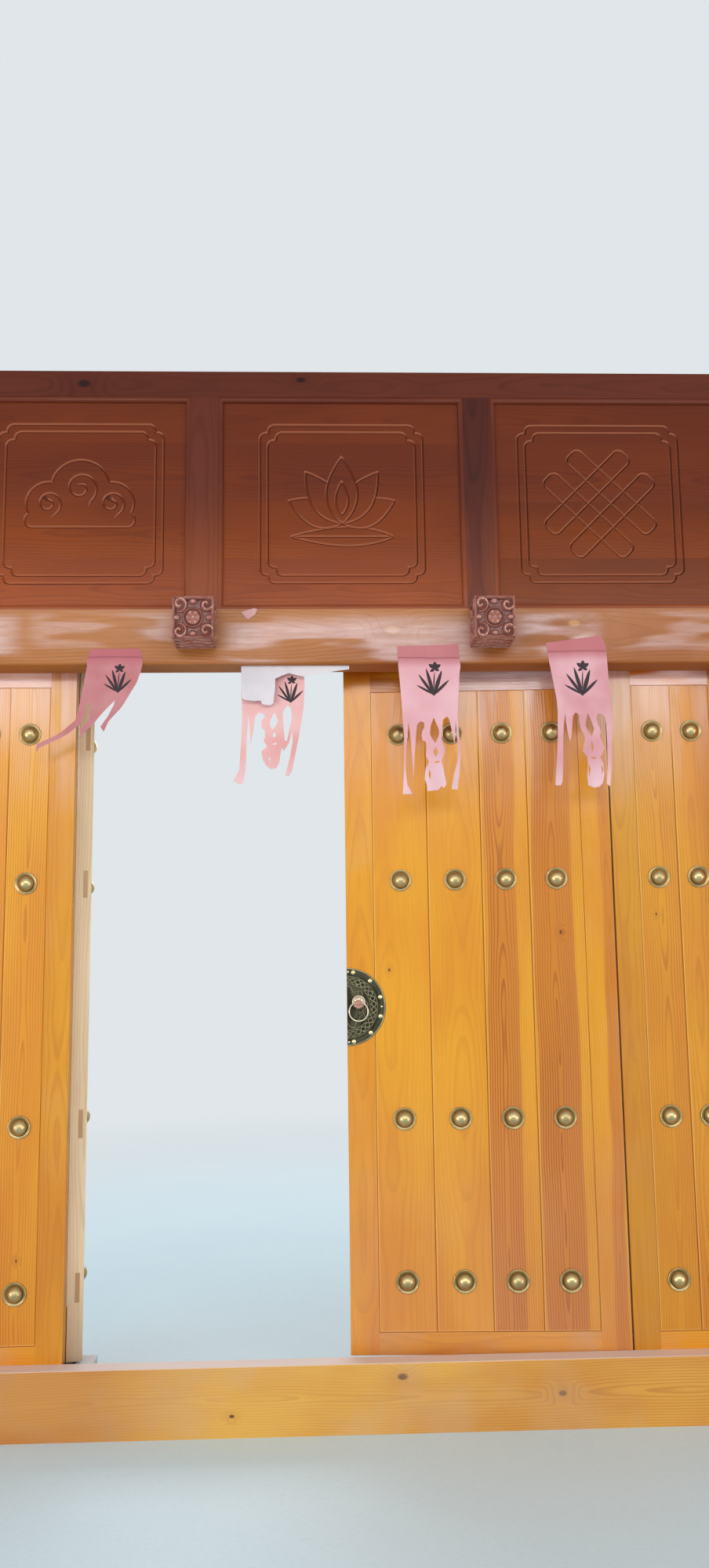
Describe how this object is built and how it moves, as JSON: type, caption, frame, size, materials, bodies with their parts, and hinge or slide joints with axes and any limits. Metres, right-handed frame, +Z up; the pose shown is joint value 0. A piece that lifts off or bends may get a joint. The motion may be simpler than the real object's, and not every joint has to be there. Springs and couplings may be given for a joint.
{
  "type": "carved temple door",
  "caption": "Studded double gate door in its frame, with carved header panels, fixed side panels, pivoting leaves with ring pulls, door pins and paper hangings.",
  "frame": {"origin": "on the floor in the middle of the doorway, in the plane between the back of the threshold and the leaves' front", "axes": "+X to the right seen from outside, +Y inwards through the door, +Z up"},
  "size_m": [2.654, 1.1249, 3.268],
  "materials": {
    "varnished_wood": "orange-yellow glossy varnish over knotty softwood",
    "shaded_varnished_wood": "darker red-brown satin varnish",
    "dark_lacquered_wood": "dark reddish lacquer, worn on the raised carving",
    "bare_wood": "bare, slightly greyed",
    "aged_brass": "aged, tarnished in the hollows",
    "iron": "dark forged iron",
    "pink_paper": "matte, faded",
    "white_paper": "matte, thin"
  },
  "bodies": {
    "frame": {"threshold": "varnished_wood", "lintel": "varnished_wood", "top_rail": "shaded_varnished_wood", "left_jamb": "varnished_wood", "right_jamb": "varnished_wood", "left_header_post": "shaded_varnished_wood", "right_header_post": "shaded_varnished_wood", "left_header_panel": "shaded_varnished_wood", "centre_header_panel": "shaded_varnished_wood", "right_header_panel": "shaded_varnished_wood", "header_mouldings": "shaded_varnished_wood", "pivot_board": "bare_wood", "left_pivot_block": "bare_wood", "right_pivot_block": "bare_wood", "lower_pivot_sockets": "iron", "upper_pivot_sockets": "iron", "left_door_pin": "dark_lacquered_wood", "right_door_pin": "dark_lacquered_wood", "door_pin_wedges": "bare_wood", "left_side_stiles": "varnished_wood", "left_side_rails": "varnished_wood", "left_side_planks": "varnished_wood", "left_side_battens": "bare_wood", "left_side_studs": "aged_brass", "right_side_stiles": "varnished_wood", "right_side_rails": "varnished_wood", "right_side_planks": "varnished_wood", "right_side_battens": "bare_wood", "right_side_studs": "aged_brass", "paper_hanging_1": "pink_paper", "paper_hanging_2": "pink_paper", "paper_hanging_3": "pink_paper", "paper_hanging_4": "pink_paper", "paper_strip": "white_paper"},
    "left_leaf": {"left_leaf_meeting_stile": "varnished_wood", "left_leaf_hinge_stile": "varnished_wood", "left_leaf_bottom_rail": "varnished_wood", "left_leaf_top_rail": "varnished_wood", "left_leaf_planks": "varnished_wood", "left_leaf_battens": "bare_wood", "left_leaf_studs": "aged_brass", "left_leaf_pull_plate": "aged_brass", "left_leaf_plate_nails": "aged_brass", "left_leaf_ring_boss": "aged_brass", "left_leaf_upper_pivot": "iron", "left_leaf_lower_pivot": "iron"},
    "right_leaf": {"right_leaf_meeting_stile": "varnished_wood", "right_leaf_hinge_stile": "varnished_wood", "right_leaf_bottom_rail": "varnished_wood", "right_leaf_top_rail": "varnished_wood", "right_leaf_planks": "varnished_wood", "right_leaf_battens": "bare_wood", "right_leaf_studs": "aged_brass", "right_leaf_pull_plate": "aged_brass", "right_leaf_plate_nails": "aged_brass", "right_leaf_ring_boss": "aged_brass", "right_leaf_upper_pivot": "iron", "right_leaf_lower_pivot": "iron"},
    "left_ring": {"left_leaf_pull_ring": "aged_brass"},
    "right_ring": {"right_leaf_pull_ring": "aged_brass"}
  },
  "joints": [
    {"name": "left_leaf_swing", "type": "hinge", "parent": "frame", "child": "left_leaf", "pos_m": [-0.8535, 0.049, 0.2], "axis": [0, 0, 1], "range_deg": [-105, 5]},
    {"name": "right_leaf_swing", "type": "hinge", "parent": "frame", "child": "right_leaf", "pos_m": [0.8535, 0.049, 0.2], "axis": [0, 0, 1], "range_deg": [-106.7, 3.3]},
    {"name": "left_ring_swing", "type": "hinge", "parent": "left_leaf", "child": "left_ring", "pos_m": [-1.0032, 0.85109, 1.2365], "axis": [0.2588, -0.9659, 0], "range_deg": [-4, 85]},
    {"name": "right_ring_swing", "type": "hinge", "parent": "right_leaf", "child": "right_ring", "pos_m": [0.03772, 0.03293, 1.2365], "axis": [-0.9983, 0.0576, 0], "range_deg": [-4, 85]}
  ]
}
